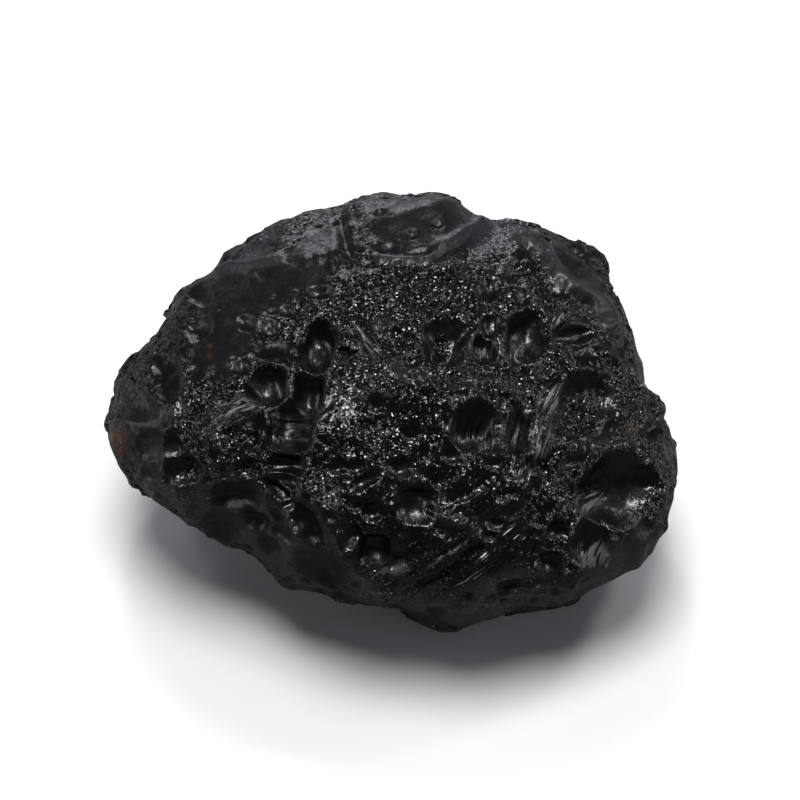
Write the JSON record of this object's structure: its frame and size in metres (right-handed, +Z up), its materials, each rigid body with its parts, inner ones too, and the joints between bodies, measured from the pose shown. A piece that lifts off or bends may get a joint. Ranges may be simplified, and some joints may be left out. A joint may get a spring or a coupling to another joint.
{
  "type": "tektite",
  "caption": "Black natural glass pebble, a lopsided rounded lump with bowl-shaped pits, ridges and flow grooves, resting on a small worn flat.",
  "frame": {"origin": "on the ground, under the middle of the stone's bounding box", "axes": "+X along the stone's length towards its blunt end, +Z up; the broad pitted face looks forward (-Y) and up"},
  "size_m": [0.0398, 0.0345, 0.0234],
  "materials": {
    "black_glass": "gloss"
  },
  "bodies": {
    "root": {"tektite": "black_glass"}
  },
  "joints": []
}
